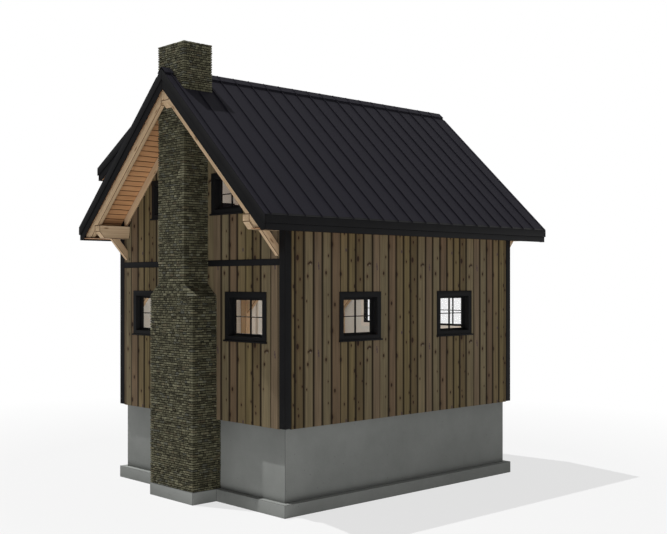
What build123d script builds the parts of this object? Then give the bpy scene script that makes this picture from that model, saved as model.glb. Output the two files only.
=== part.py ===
from build123d import *
from math import cos, radians, tan
import os

os.makedirs("parts", exist_ok=True)

# Foundation
foundation_width = 4877
foundation_length = 6568
foundation_thickness = 203
foundation_height = 1565
footing_projection = 117
footing_height = 235

# Timber frame
frame_setback = 19
post_size = 175
plate_width = 175
plate_height = 264
plate_top_height = 5336
tie_beam_depth = 235
rafter_depth = 171
rafter_width = 95
rafter_seat_inset = 98
ridge_beam_width = 235
ridge_beam_depth = 300
nose_length = 125
nose_height = 136
brace_width = 89
brace_depth = 140
brace_reach = 430
brace_pitch = 47.5
inner_brace_reach = 760

# Floors
floor_depth = 300
loft_floor_height = 4575
loft_floor_depth = 140

# Walls
wall_thickness = 100
siding_thickness = 22
trim_thickness = 32
corner_board_width = 150
belly_band_height = 118

# Roof
roof_pitch = 45
roof_panel_thickness = 202
decking_thickness = 19
eave_overhang = 478
gable_overhang = 920
fascia_thickness = 19
fascia_board_height = 141
rake_lower_reveal = 129
mitre_gap = 2
eave_lower_reveal = 114
eave_soffit_lift = 34
eave_soffit_thickness = 15
fly_rafter_setback = 85
ridge_cap_width = 150
ridge_cap_height = 33
ridge_cap_edge = 12

# Shed dormer on the left slope
dormer_pitch = 31.05
dormer_gable_overhang = 572
dormer_eave_inset = 175
dormer_cheek_inset = 280
dormer_wall_stand = 100
dormer_window_width = 900
dormer_window_height = 520
dormer_window_spacing = 1700
dormer_window_rise = 50
dormer_opening_top = 900

# Chimney
chimney_base_half_width = 673
chimney_shaft_half_width = 412
chimney_depth = 694
chimney_shoulder_height = 3893
chimney_shoulder_rise = 230
chimney_height = 8717
flue_size = 300
flue_wall = 25
flue_inset = 30
flue_depth = 1500

# Windows and door
window_width = 1150
window_height = 930
window_foot_height = 3050
side_window_spacing = 2860
gable_window_offset = 1491
back_window_offset = 1122
loft_window_width = 905
loft_window_height = 805
loft_window_head_clearance = 13
loft_window_offset = 962
casing_width = 110
casing_thickness = 34
jamb_thickness = 20
sash_width = 45
sash_thickness = 45
glass_reveal = 140
glass_thickness = 12
sill_height = 30
sill_projection = 25
door_width = 900
door_leaf_thickness = 45

# Places worked out from the sizes above
foundation_side = foundation_width / 2
foundation_end = foundation_length / 2
frame_side = foundation_side - frame_setback
frame_end = foundation_end - frame_setback
wall_side = frame_side + wall_thickness
wall_end = frame_end + wall_thickness
siding_side = wall_side + siding_thickness
siding_end = wall_end + siding_thickness
trim_side = wall_side + trim_thickness
trim_end = wall_end + trim_thickness
corner_board_edge = trim_side - corner_board_width
roof_end = foundation_end + gable_overhang
eave_side = foundation_side + eave_overhang
main_floor_height = foundation_height + floor_depth
chimney_face = foundation_end + chimney_depth
plate_foot_height = plate_top_height - plate_height

slope = tan(radians(roof_pitch))
plumb = 1 / cos(radians(roof_pitch))
rafter_cover = (rafter_depth + decking_thickness + roof_panel_thickness) * plumb
ridge_height = plate_top_height + (frame_side - rafter_seat_inset) * slope + rafter_cover
decking_drop = roof_panel_thickness * plumb
soffit_drop = (roof_panel_thickness + decking_thickness) * plumb
rafter_drop = soffit_drop + rafter_depth * plumb


def roof_z(x, drop=0):
    """Height at distance x from the ridge of a line a plumb drop under the main roof's top."""
    return ridge_height - x * slope - drop


def slope_reach(drop, level):
    """Distance from the ridge at which a line under the main roof comes down to a level."""
    return (ridge_height - drop - level) / slope


eave_height = roof_z(eave_side)
upper_fascia_foot = eave_height - fascia_board_height
eave_foot = upper_fascia_foot - eave_lower_reveal
soffit_foot = eave_foot + eave_soffit_lift
soffit_top = soffit_foot + eave_soffit_thickness
upper_fascia_back = eave_side - fascia_thickness
lower_fascia_back = eave_side - 2 * fascia_thickness
panel_end = roof_end - 2 * fascia_thickness
fly_rafter_face = roof_end - fly_rafter_setback

dormer_slope = tan(radians(dormer_pitch))
dormer_plumb = 1 / cos(radians(dormer_pitch))
dormer_end = foundation_end + dormer_gable_overhang
dormer_eave = eave_side - dormer_eave_inset
dormer_panel_drop = (roof_panel_thickness + decking_thickness) * dormer_plumb
dormer_cheek_end = foundation_end - dormer_cheek_inset
dormer_wall_inside = frame_side - plate_width
dormer_wall_outside = dormer_wall_inside + dormer_wall_stand


def dormer_z(x, drop=0):
    """Height at distance x from the ridge of a line a plumb drop under the dormer roof's top."""
    return ridge_height - x * dormer_slope - drop


def across(y):
    """Upright plane across the cabin at y, drawn in x and z. Its normal points to the front."""
    return Plane.XZ.offset(-y)


def prism(points, start, end):
    """Extrude an outline in x and z along the cabin from start to end."""
    with BuildSketch(across(start)) as outline:
        with BuildLine():
            Polyline(*points, close=True)
        make_face()
    extrude(outline.sketch, amount=start - end)


def both_sides(points):
    """Give an outline and its mirror image about the ridge line."""
    return [points, [(-x, z) for x, z in points]]


def block(x, y, z):
    """Add a rectangular block from three (low, high) ranges."""
    with BuildSketch(Plane.XY.offset(z[0])) as outline:
        with BuildLine():
            Polyline((x[0], y[0]), (x[1], y[0]), (x[1], y[1]), (x[0], y[1]), close=True)
        make_face()
    extrude(outline.sketch, amount=z[1] - z[0])


def ring(plane, size, hole, depth):
    """Add a rectangular frame on a plane, drawn back by a depth."""
    with BuildSketch(plane) as outline:
        Rectangle(*size)
        Rectangle(*hole, mode=Mode.SUBTRACT)
    extrude(outline.sketch, amount=-depth)


def save(part, name):
    """Label one finished piece and write it."""
    part.label = name
    export_step(part, f"parts/{name}.step")


# Openings, each as its plane on the wall slab's outer face, its width and its height
def front_plane(x, z):
    return Plane(origin=(x, -wall_end, z), x_dir=(1, 0, 0), z_dir=(0, -1, 0))


def back_plane(x, z):
    return Plane(origin=(x, wall_end, z), x_dir=(-1, 0, 0), z_dir=(0, 1, 0))


def right_plane(y, z, x=wall_side):
    return Plane(origin=(x, y, z), x_dir=(0, 1, 0), z_dir=(1, 0, 0))


def left_plane(y, z, x=wall_side):
    return Plane(origin=(-x, y, z), x_dir=(0, -1, 0), z_dir=(-1, 0, 0))


window_middle = window_foot_height + window_height / 2
loft_window_corner = loft_window_offset + loft_window_width / 2
loft_window_head = roof_z(loft_window_corner, rafter_drop) - loft_window_head_clearance
loft_window_middle = loft_window_head - loft_window_height / 2
door_head = window_foot_height + window_height - casing_width
door_height = door_head - main_floor_height
dormer_sill = roof_z(dormer_wall_outside) + dormer_window_rise
dormer_window_middle = dormer_sill + dormer_window_height / 2

lower_size = (window_width, window_height)
loft_size = (loft_window_width, loft_window_height)
dormer_size = (dormer_window_width, dormer_window_height)
sides = (-1, 1)
front_windows = [(front_plane(s * gable_window_offset, window_middle), lower_size) for s in sides]
front_windows += [(front_plane(s * loft_window_offset, loft_window_middle), loft_size) for s in sides]
back_windows = [(back_plane(s * back_window_offset, window_middle), lower_size) for s in sides]
back_windows += [(back_plane(s * loft_window_offset, loft_window_middle), loft_size) for s in sides]
right_windows = [(right_plane(s * side_window_spacing / 2, window_middle), lower_size) for s in sides]
left_windows = [(left_plane(s * side_window_spacing / 2, window_middle), lower_size) for s in sides]
dormer_windows = [
    (left_plane(s * dormer_window_spacing, dormer_window_middle, dormer_wall_outside), dormer_size)
    for s in (-1, 0, 1)
]


def hole_size(size):
    """Size of the hole that a window's jambs fill."""
    trim = 2 * (casing_width - jamb_thickness)
    return size[0] - trim, size[1] - trim


def clear_size(size):
    """Size of the clear opening inside a window's jambs."""
    return size[0] - 2 * casing_width, size[1] - 2 * casing_width


def glass_size(size):
    """Size of the pane inside a window's sash."""
    clear = clear_size(size)
    return clear[0] - 2 * sash_width, clear[1] - 2 * sash_width


def cut_windows(windows):
    """Cut the window holes through a wall slab."""
    for plane, size in windows:
        with BuildSketch(plane) as hole:
            Rectangle(*hole_size(size))
        extrude(hole.sketch, amount=-wall_thickness, mode=Mode.SUBTRACT)


def add_frames(windows):
    """Add casing, jambs, sash and sill for each window."""
    for plane, size in windows:
        clear = clear_size(size)
        ring(plane.offset(casing_thickness), size, clear, casing_thickness)
        ring(plane, hole_size(size), clear, wall_thickness)
        face = casing_thickness + sash_thickness / 2 - glass_reveal
        ring(plane.offset(face), clear, glass_size(size), sash_thickness)
        sill_middle = plane.origin + plane.y_dir * (sill_height - size[1]) / 2
        sill_plane = Plane(origin=sill_middle, x_dir=plane.x_dir, z_dir=plane.z_dir)
        with BuildSketch(sill_plane.offset(casing_thickness)) as sill:
            Rectangle(size[0] + 2 * sill_projection, sill_height)
        extrude(sill.sketch, amount=sill_projection)


def add_panes(windows):
    """Add the glass of each window."""
    for plane, size in windows:
        with BuildSketch(plane.offset(casing_thickness - glass_reveal)) as pane:
            Rectangle(*glass_size(size))
        extrude(pane.sketch, amount=-glass_thickness)


# Foundation
with BuildPart() as strip_footing:
    outer = (foundation_width + 2 * footing_projection, foundation_length + 2 * footing_projection)
    inside = foundation_thickness + footing_projection
    with BuildSketch():
        Rectangle(*outer)
        Rectangle(foundation_width - 2 * inside, foundation_length - 2 * inside, mode=Mode.SUBTRACT)
    extrude(amount=footing_height)
    pad = (-chimney_base_half_width, chimney_base_half_width)
    block(pad, (-chimney_face, -foundation_end - footing_projection), (0, footing_height))
save(strip_footing.part, "strip_footing")

with BuildPart() as foundation_walls:
    with BuildSketch(Plane.XY.offset(footing_height)):
        Rectangle(foundation_width, foundation_length)
        clear_width = foundation_width - 2 * foundation_thickness
        Rectangle(clear_width, foundation_length - 2 * foundation_thickness, mode=Mode.SUBTRACT)
    extrude(amount=foundation_height - footing_height)
save(foundation_walls.part, "foundation_walls")

# Chimney: a wide base that steps in at the shoulders, with a clay flue let into its top
shoulder_top = chimney_shoulder_height + chimney_shoulder_rise
flue_outside = flue_size + 2 * flue_wall
chimney_middle = -foundation_end - chimney_depth / 2
with BuildPart() as chimney_mass:
    half = [
        (chimney_base_half_width, footing_height),
        (chimney_base_half_width, chimney_shoulder_height),
        (chimney_shaft_half_width, shoulder_top),
        (chimney_shaft_half_width, chimney_height),
    ]
    prism(half + [(-x, z) for x, z in reversed(half)], -chimney_face, -foundation_end)

with BuildPart() as chimney:
    add(chimney_mass.part)
    with BuildSketch(Plane.XY.offset(chimney_height)):
        with Locations((0, chimney_middle)):
            Rectangle(flue_outside, flue_outside)
    extrude(amount=-flue_depth, mode=Mode.SUBTRACT)
save(chimney.part, "chimney")

with BuildPart() as chimney_flue:
    with BuildSketch(Plane.XY.offset(chimney_height - flue_inset)):
        with Locations((0, chimney_middle)):
            Rectangle(flue_outside, flue_outside)
            Rectangle(flue_size, flue_size, mode=Mode.SUBTRACT)
    extrude(amount=flue_inset - flue_depth)
save(chimney_flue.part, "chimney_flue")

# Floors
with BuildPart() as main_floor:
    with BuildSketch(Plane.XY.offset(foundation_height)):
        Rectangle(2 * frame_side, 2 * frame_end)
    extrude(amount=floor_depth)
save(main_floor.part, "main_floor")

# Timber frame: three bents with a post at each side
bent_starts = (-frame_end, -post_size / 2, frame_end - post_size)
post_inside = frame_side - post_size
loft_foot = loft_floor_height - loft_floor_depth
tie_foot = loft_foot - tie_beam_depth

with BuildPart() as posts:
    for y in bent_starts:
        for low in (-frame_side, post_inside):
            block((low, low + post_size), (y, y + post_size), (main_floor_height, plate_foot_height))
save(posts.part, "posts")

with BuildPart() as tie_beams:
    for y in bent_starts:
        block((-post_inside, post_inside), (y, y + post_size), (tie_foot, loft_foot))
save(tie_beams.part, "tie_beams")

with BuildPart() as loft_floor:
    with BuildSketch(Plane.XY.offset(loft_foot)):
        Rectangle(2 * post_inside, 2 * frame_end)
    extrude(amount=loft_floor_depth)
save(loft_floor.part, "loft_floor")

with BuildPart() as wall_plates:
    tip = fly_rafter_face
    profile = [
        (-tip, plate_top_height),
        (-tip, plate_foot_height + nose_height),
        (-tip + nose_length, plate_foot_height),
        (tip - nose_length, plate_foot_height),
        (tip, plate_foot_height + nose_height),
        (tip, plate_top_height),
    ]
    for low in (-frame_side, frame_side - plate_width):
        with BuildSketch(Plane.YZ.offset(low)):
            with BuildLine():
                Polyline(*profile, close=True)
            make_face()
        extrude(amount=plate_width)
save(wall_plates.part, "wall_plates")

# The ridge beam's top is cut to the two roof slopes
ridge_beam_side = ridge_beam_width / 2
ridge_beam_foot = roof_z(ridge_beam_side, soffit_drop) - ridge_beam_depth
with BuildPart() as ridge_beam:
    prism(
        [
            (-ridge_beam_side, ridge_beam_foot),
            (ridge_beam_side, ridge_beam_foot),
            (ridge_beam_side, roof_z(ridge_beam_side, soffit_drop)),
            (0, roof_z(0, soffit_drop)),
            (-ridge_beam_side, roof_z(ridge_beam_side, soffit_drop)),
        ],
        -fly_rafter_face,
        fly_rafter_face,
    )
    for s in sides:
        with BuildSketch(Plane.YZ.offset(-ridge_beam_side)):
            with BuildLine():
                Polyline(
                    (s * fly_rafter_face, ridge_beam_foot),
                    (s * (fly_rafter_face - nose_length), ridge_beam_foot),
                    (s * fly_rafter_face, ridge_beam_foot + nose_height),
                    close=True,
                )
            make_face()
        extrude(amount=ridge_beam_width, mode=Mode.SUBTRACT)
    add(chimney_mass.part, mode=Mode.SUBTRACT)
save(ridge_beam.part, "ridge_beam")


def rafter_outline(outer, foot):
    """Rafter from the ridge beam to a distance outer from the ridge, cut level at a foot height."""
    meet = min(outer, slope_reach(rafter_drop, foot))
    heel = [(outer, roof_z(outer, soffit_drop)), (outer, foot), (meet, foot)]
    low = (ridge_beam_side, roof_z(ridge_beam_side, rafter_drop))
    return heel + [low, (ridge_beam_side, roof_z(ridge_beam_side, soffit_drop))]


with BuildPart() as frame_rafters:
    for y in bent_starts:
        middle = y + post_size / 2
        for outline in both_sides(rafter_outline(frame_side, plate_top_height)):
            prism(outline, middle - rafter_width / 2, middle + rafter_width / 2)
save(frame_rafters.part, "frame_rafters")

with BuildPart() as fly_rafters:
    outer_foot = slope_reach(soffit_drop, soffit_top)
    outline = [
        (ridge_beam_side, roof_z(ridge_beam_side, soffit_drop)),
        (outer_foot, soffit_top),
        (slope_reach(rafter_drop, soffit_top), soffit_top),
        (ridge_beam_side, roof_z(ridge_beam_side, rafter_drop)),
    ]
    for points in both_sides(outline):
        prism(points, -fly_rafter_face, -fly_rafter_face + rafter_width)
        prism(points, fly_rafter_face - rafter_width, fly_rafter_face)
    add(wall_plates.part, mode=Mode.SUBTRACT)
save(fly_rafters.part, "fly_rafters")

with BuildPart() as wall_rafters:
    for points in both_sides(rafter_outline(corner_board_edge, plate_top_height)):
        prism(points, -trim_end, -wall_end)
        prism(points, wall_end, trim_end)
    add(chimney_mass.part, mode=Mode.SUBTRACT)
save(wall_rafters.part, "wall_rafters")

# Braces under the plates' noses, outside each gable
brace_slope = tan(radians(brace_pitch))
brace_middle = frame_side - plate_width / 2
brace_drop = brace_depth * (1 + brace_slope**2) ** 0.5
with BuildPart() as outer_braces:
    tip = wall_end + brace_reach
    foot = plate_foot_height - brace_reach * brace_slope
    outline = [
        (tip, plate_foot_height),
        (wall_end, foot),
        (wall_end, foot + brace_drop),
        (tip - brace_drop / brace_slope, plate_foot_height),
    ]
    for middle in (-brace_middle, brace_middle):
        for s in sides:
            with BuildSketch(Plane.YZ.offset(middle - brace_width / 2)):
                with BuildLine():
                    Polyline(*[(s * y, z) for y, z in outline], close=True)
                make_face()
            extrude(amount=brace_width)
save(outer_braces.part, "outer_braces")

# Knee braces from the posts to the tie beams
knee_drop = brace_depth * plumb
with BuildPart() as inner_braces:
    outline = [
        (post_inside, tie_foot - inner_brace_reach),
        (post_inside, tie_foot - inner_brace_reach + knee_drop),
        (post_inside - inner_brace_reach + knee_drop, tie_foot),
        (post_inside - inner_brace_reach, tie_foot),
    ]
    for y in bent_starts:
        middle = y + post_size / 2
        for points in both_sides(outline):
            prism(points, middle - brace_width / 2, middle + brace_width / 2)
save(inner_braces.part, "inner_braces")

# Walls
def gable_wall(start, end):
    """Add a gable slab up to the roof decking, notched round the timbers that pass through."""
    side_top = roof_z(wall_side, soffit_drop)
    peak = [(wall_side, side_top), (0, roof_z(0, soffit_drop)), (-wall_side, side_top)]
    prism([(-wall_side, foundation_height), (wall_side, foundation_height)] + peak, start, end)
    add([wall_plates.part, ridge_beam.part], mode=Mode.SUBTRACT)


with BuildPart() as front_wall:
    gable_wall(-wall_end, -frame_end)
    cut_windows(front_windows)
    add(chimney_mass.part, mode=Mode.SUBTRACT)
save(front_wall.part, "front_wall")

with BuildPart() as back_wall:
    gable_wall(frame_end, wall_end)
    cut_windows(back_windows)
save(back_wall.part, "back_wall")

side_wall = [
    (frame_side, foundation_height),
    (wall_side, foundation_height),
    (wall_side, roof_z(wall_side, soffit_drop)),
    (frame_side, roof_z(frame_side, soffit_drop)),
]
with BuildPart() as right_wall:
    prism(side_wall, -frame_end, frame_end)
    cut_windows(right_windows)
save(right_wall.part, "right_wall")

door_hole = (door_width + 2 * jamb_thickness, door_height + jamb_thickness)
door_hole_plane = left_plane(0, main_floor_height + door_hole[1] / 2)
with BuildPart() as left_wall:
    prism([(-x, z) for x, z in side_wall], -frame_end, frame_end)
    cut_windows(left_windows)
    with BuildSketch(door_hole_plane):
        Rectangle(*door_hole)
    extrude(amount=-wall_thickness, mode=Mode.SUBTRACT)
save(left_wall.part, "left_wall")

# Corner boards: an L below the eave and a leg that follows the gable up to the soffit
with BuildPart() as corner_boards:
    for sx in sides:
        for sy in sides:
            corner = [
                (corner_board_edge, trim_end),
                (trim_side, trim_end),
                (trim_side, trim_end - corner_board_width),
                (wall_side, trim_end - corner_board_width),
                (wall_side, wall_end),
                (corner_board_edge, wall_end),
            ]
            with BuildSketch(Plane.XY.offset(foundation_height)):
                with BuildLine():
                    Polyline(*[(sx * x, sy * y) for x, y in corner], close=True)
                make_face()
            extrude(amount=soffit_foot - foundation_height)
            upper = [
                (sx * corner_board_edge, soffit_foot),
                (sx * wall_side, soffit_foot),
                (sx * wall_side, roof_z(wall_side, soffit_drop)),
                (sx * corner_board_edge, roof_z(corner_board_edge, soffit_drop)),
            ]
            prism(upper, *sorted((sy * wall_end, sy * trim_end)))
    add(wall_plates.part, mode=Mode.SUBTRACT)
    add(wall_rafters.part, mode=Mode.SUBTRACT)
save(corner_boards.part, "corner_boards")

belly_band_foot = loft_floor_height - belly_band_height
with BuildPart() as belly_bands:
    band = (belly_band_foot, loft_floor_height)
    for s in sides:
        reach = tuple(sorted((s * chimney_shaft_half_width, s * corner_board_edge)))
        block(reach, (-trim_end, -wall_end), band)
    block((-corner_board_edge, corner_board_edge), (wall_end, trim_end), band)
    add(wall_plates.part, mode=Mode.SUBTRACT)
save(belly_bands.part, "belly_bands")

# Main roof
with BuildPart() as right_roof_panel:
    panel = [
        (0, ridge_height),
        (lower_fascia_back, roof_z(lower_fascia_back)),
        (lower_fascia_back, soffit_top),
        (slope_reach(decking_drop, soffit_top), soffit_top),
        (0, roof_z(0, decking_drop)),
    ]
    prism(panel, -panel_end, panel_end)
    add(chimney_mass.part, mode=Mode.SUBTRACT)
save(right_roof_panel.part, "right_roof_panel")

with BuildPart() as right_roof_decking:
    decking = [
        (0, roof_z(0, decking_drop)),
        (slope_reach(decking_drop, soffit_top), soffit_top),
        (slope_reach(soffit_drop, soffit_top), soffit_top),
        (0, roof_z(0, soffit_drop)),
    ]
    prism(decking, -panel_end, panel_end)
    add(chimney_mass.part, mode=Mode.SUBTRACT)
save(right_roof_decking.part, "right_roof_decking")

# The left slope is open under the dormer
dormer_room_end = dormer_cheek_end - wall_thickness
with BuildPart() as dormer_opening:
    room = (-dormer_room_end, dormer_room_end)
    block((-dormer_wall_inside, -dormer_opening_top), room, (plate_top_height, ridge_height))

with BuildPart() as left_roof_panel:
    add(mirror(right_roof_panel.part, about=Plane.YZ))
    add(dormer_opening.part, mode=Mode.SUBTRACT)
save(left_roof_panel.part, "left_roof_panel")

with BuildPart() as left_roof_decking:
    add(mirror(right_roof_decking.part, about=Plane.YZ))
    add(dormer_opening.part, mode=Mode.SUBTRACT)
save(left_roof_decking.part, "left_roof_decking")

with BuildPart() as eave_soffits:
    half = [
        (frame_side, panel_end),
        (lower_fascia_back, panel_end),
        (lower_fascia_back, -panel_end),
        (frame_side, -panel_end),
        (frame_side, -trim_end),
        (wall_side, -trim_end),
        (wall_side, trim_end),
        (frame_side, trim_end),
    ]
    for s in sides:
        with BuildSketch(Plane.XY.offset(soffit_foot)):
            with BuildLine():
                Polyline(*[(s * x, y) for x, y in half], close=True)
            make_face()
        extrude(amount=eave_soffit_thickness)
save(eave_soffits.part, "eave_soffits")

with BuildPart() as eave_fascias:
    upper = [
        (upper_fascia_back, roof_z(upper_fascia_back)),
        (eave_side, eave_height),
        (eave_side, upper_fascia_foot),
        (upper_fascia_back, upper_fascia_foot),
    ]
    backing = [
        (lower_fascia_back, roof_z(lower_fascia_back)),
        (upper_fascia_back, roof_z(upper_fascia_back)),
        (upper_fascia_back, eave_foot),
        (lower_fascia_back, eave_foot),
    ]
    for points in both_sides(upper):
        prism(points, -panel_end - fascia_thickness, panel_end + fascia_thickness)
    for points in both_sides(backing):
        prism(points, -panel_end, panel_end)
save(eave_fascias.part, "eave_fascias")


def rake_board(drop, level, edge, near):
    """Add rake boards at both gables, from a distance near out, down to a plumb drop and a level foot."""
    outline = [
        (mitre_gap / 2, roof_z(mitre_gap / 2)),
        (edge, roof_z(edge)),
        (edge, level),
        (slope_reach(drop, level), level),
        (mitre_gap / 2, roof_z(mitre_gap / 2, drop)),
    ]
    for points in both_sides(outline):
        prism(points, near, near + fascia_thickness)
        prism(points, -near - fascia_thickness, -near)


rake_upper_drop = fascia_board_height * plumb
rake_lower_drop = (fascia_board_height + rake_lower_reveal) * plumb
with BuildPart() as rake_fascias:
    rake_board(rake_upper_drop, upper_fascia_foot, eave_side, roof_end - fascia_thickness)
    rake_board(rake_lower_drop, eave_foot, upper_fascia_back, panel_end)
save(rake_fascias.part, "rake_fascias")

# Dormer: one low-pitched roof from the ridge out over a wall that stands on the left plate
def dormer_layer(drop, edge, level, start, end):
    """Add a layer of the dormer roof down to a plumb drop, above the main slope."""
    meet = drop / (slope - dormer_slope)
    points = [(0, ridge_height), (edge, dormer_z(edge))]
    if dormer_z(edge, drop) < level:
        points += [(edge, level), ((ridge_height - drop - level) / dormer_slope, level)]
    else:
        points += [(edge, dormer_z(edge, drop))]
    points += [(meet, roof_z(meet))]
    prism([(-x, z) for x, z in points], start, end)


dormer_upper_back = dormer_eave - fascia_thickness
dormer_lower_back = dormer_eave - 2 * fascia_thickness
dormer_panel_end = dormer_end - 2 * fascia_thickness
dormer_upper_foot = dormer_z(dormer_eave) - fascia_board_height
dormer_eave_foot = dormer_upper_foot - eave_lower_reveal
dormer_panel_foot = dormer_eave_foot + eave_soffit_lift
with BuildPart() as dormer_roof_panel:
    dormer_layer(dormer_panel_drop, dormer_lower_back, dormer_panel_foot, -dormer_panel_end, dormer_panel_end)
    add(chimney_mass.part, mode=Mode.SUBTRACT)
save(dormer_roof_panel.part, "dormer_roof_panel")

dormer_upper_drop = fascia_board_height * dormer_plumb
dormer_lower_drop = (fascia_board_height + rake_lower_reveal) * dormer_plumb
with BuildPart() as dormer_fascia:
    for end in (-dormer_end, dormer_end - fascia_thickness):
        dormer_layer(dormer_upper_drop, dormer_eave, dormer_upper_foot, end, end + fascia_thickness)
    for end in (-dormer_end + fascia_thickness, dormer_panel_end):
        dormer_layer(dormer_lower_drop, dormer_upper_back, dormer_eave_foot, end, end + fascia_thickness)
    upper = [
        (-dormer_upper_back, dormer_z(dormer_upper_back)),
        (-dormer_eave, dormer_z(dormer_eave)),
        (-dormer_eave, dormer_upper_foot),
        (-dormer_upper_back, dormer_upper_foot),
    ]
    prism(upper, -dormer_panel_end + mitre_gap, dormer_panel_end - mitre_gap)
    backing = [
        (-dormer_lower_back, dormer_z(dormer_lower_back)),
        (-dormer_upper_back, dormer_z(dormer_upper_back)),
        (-dormer_upper_back, dormer_eave_foot),
        (-dormer_lower_back, dormer_eave_foot),
    ]
    prism(backing, -dormer_panel_end + mitre_gap, dormer_panel_end - mitre_gap)
    add(chimney_mass.part, mode=Mode.SUBTRACT)
save(dormer_fascia.part, "dormer_fascia")

with BuildPart() as dormer_cheeks:
    meet = dormer_panel_drop / (slope - dormer_slope)
    cheek = [
        (-meet, roof_z(meet)),
        (-dormer_wall_outside, roof_z(dormer_wall_outside)),
        (-dormer_wall_outside, dormer_z(dormer_wall_outside, dormer_panel_drop)),
    ]
    prism(cheek, -dormer_cheek_end, -dormer_room_end)
    prism(cheek, dormer_room_end, dormer_cheek_end)
save(dormer_cheeks.part, "dormer_cheeks")

with BuildPart() as dormer_front_wall:
    face = [
        (-dormer_wall_inside, roof_z(dormer_wall_inside)),
        (-dormer_wall_outside, roof_z(dormer_wall_outside)),
        (-dormer_wall_outside, dormer_z(dormer_wall_outside, dormer_panel_drop)),
        (-dormer_wall_inside, dormer_z(dormer_wall_inside, dormer_panel_drop)),
    ]
    prism(face, -dormer_room_end, dormer_room_end)
    cut_windows(dormer_windows)
save(dormer_front_wall.part, "dormer_front_wall")

with BuildPart() as ridge_cap:
    side = roof_z(ridge_cap_width)
    cap = [
        (-ridge_cap_width, side),
        (-ridge_cap_width, side + ridge_cap_edge),
        (0, ridge_height + ridge_cap_height),
        (ridge_cap_width, side + ridge_cap_edge),
        (ridge_cap_width, side),
        (0, ridge_height),
    ]
    prism(cap, -roof_end, roof_end)
    add([dormer_roof_panel.part, dormer_fascia.part, chimney_mass.part], mode=Mode.SUBTRACT)
save(ridge_cap.part, "ridge_cap")

# Windows
window_groups = [
    ("front", front_windows),
    ("back", back_windows),
    ("right", right_windows),
    ("left", left_windows),
    ("dormer", dormer_windows),
]
for name, windows in window_groups:
    with BuildPart() as window_frames:
        add_frames(windows)
    save(window_frames.part, f"{name}_window_frames")
    with BuildPart() as glass:
        add_panes(windows)
    save(glass.part, f"{name}_glass")

# Door in the left wall
with BuildPart() as door_frame:
    door_plane = left_plane(0, main_floor_height)
    with BuildSketch(door_plane.offset(casing_thickness)):
        with Locations((0, (door_height + casing_width) / 2)):
            Rectangle(door_width + 2 * casing_width, door_height + casing_width)
        with Locations((0, door_height / 2)):
            Rectangle(door_width, door_height, mode=Mode.SUBTRACT)
    extrude(amount=-casing_thickness)
    with BuildSketch(door_plane):
        with Locations((0, door_hole[1] / 2)):
            Rectangle(*door_hole)
        with Locations((0, door_height / 2)):
            Rectangle(door_width, door_height, mode=Mode.SUBTRACT)
    extrude(amount=-wall_thickness)
save(door_frame.part, "door_frame")

with BuildPart() as door_leaf:
    with BuildSketch(door_plane):
        with Locations((0, door_height / 2)):
            Rectangle(door_width, door_height)
    extrude(amount=-door_leaf_thickness)
save(door_leaf.part, "door_leaf")
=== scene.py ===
import math

import bmesh
import bpy
import numpy as np
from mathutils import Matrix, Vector


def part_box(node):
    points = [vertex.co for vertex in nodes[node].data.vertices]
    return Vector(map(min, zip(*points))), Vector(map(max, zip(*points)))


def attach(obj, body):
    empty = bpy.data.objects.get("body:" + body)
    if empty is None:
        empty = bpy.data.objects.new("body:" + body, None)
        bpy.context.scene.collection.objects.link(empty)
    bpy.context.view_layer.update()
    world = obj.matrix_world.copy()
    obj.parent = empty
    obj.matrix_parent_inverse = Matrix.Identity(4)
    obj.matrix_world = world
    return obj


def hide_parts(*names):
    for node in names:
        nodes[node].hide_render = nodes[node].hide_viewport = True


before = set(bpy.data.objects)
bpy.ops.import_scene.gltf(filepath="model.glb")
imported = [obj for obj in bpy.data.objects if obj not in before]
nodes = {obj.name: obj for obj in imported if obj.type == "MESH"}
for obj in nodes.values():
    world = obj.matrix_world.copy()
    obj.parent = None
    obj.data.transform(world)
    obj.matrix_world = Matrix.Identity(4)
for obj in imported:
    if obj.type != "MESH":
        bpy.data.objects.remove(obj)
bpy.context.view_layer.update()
print("frame loaded with", len(nodes), "nodes")


# Camera, at the photograph's viewing angle
view = {
    "place": (15.49, -15.70, 4.167),
    "turn": 49.72,
    "lens": 54.79,
    "sensor": 36,
    "shift": (0.160, 0.022),
    "clipEnd": 200,
}
cameraData = bpy.data.cameras.new("camera")
cameraData.sensor_width = view["sensor"]
cameraData.lens = view["lens"]
cameraData.shift_x, cameraData.shift_y = view["shift"]
cameraData.clip_end = view["clipEnd"]
camera = bpy.data.objects.new("camera", cameraData)
camera.location = view["place"]
camera.rotation_euler = (math.radians(90), 0, math.radians(view["turn"]))
scene = bpy.context.scene
scene.collection.objects.link(camera)
scene.camera = camera
scene.view_settings.view_transform = "Standard"


# Materials: a wire is a socket, and sums on wires add their Math nodes
def operator(kind):
    # a method that joins a wire with what it is given in one Math node
    def join(wire, *others):
        return wire.finish.add("Math", {"operation": kind}, dict(enumerate((wire,) + others)))

    return join


class Wire:
    def __init__(self, finish, socket):
        self.finish, self.socket = finish, socket

    __add__ = __radd__ = operator("ADD")
    __mul__ = __rmul__ = operator("MULTIPLY")
    __sub__, __truediv__, __pow__ = operator("SUBTRACT"), operator("DIVIDE"), operator("POWER")
    least, most, size = operator("MINIMUM"), operator("MAXIMUM"), operator("ABSOLUTE")
    whole, part, exponent = operator("FLOOR"), operator("FRACT"), operator("EXPONENT")

    def __rsub__(self, other):
        return self.finish.add("Math", {"operation": "SUBTRACT"}, {0: other, 1: self})

    def above(self, edge, soft):
        # 0 below edge - soft, 1 above edge + soft, smooth between
        limits = {"Value": self, "From Min": edge - soft, "From Max": edge + soft}
        return self.finish.add("MapRange", {"interpolation_type": "SMOOTHSTEP"}, limits)


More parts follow.
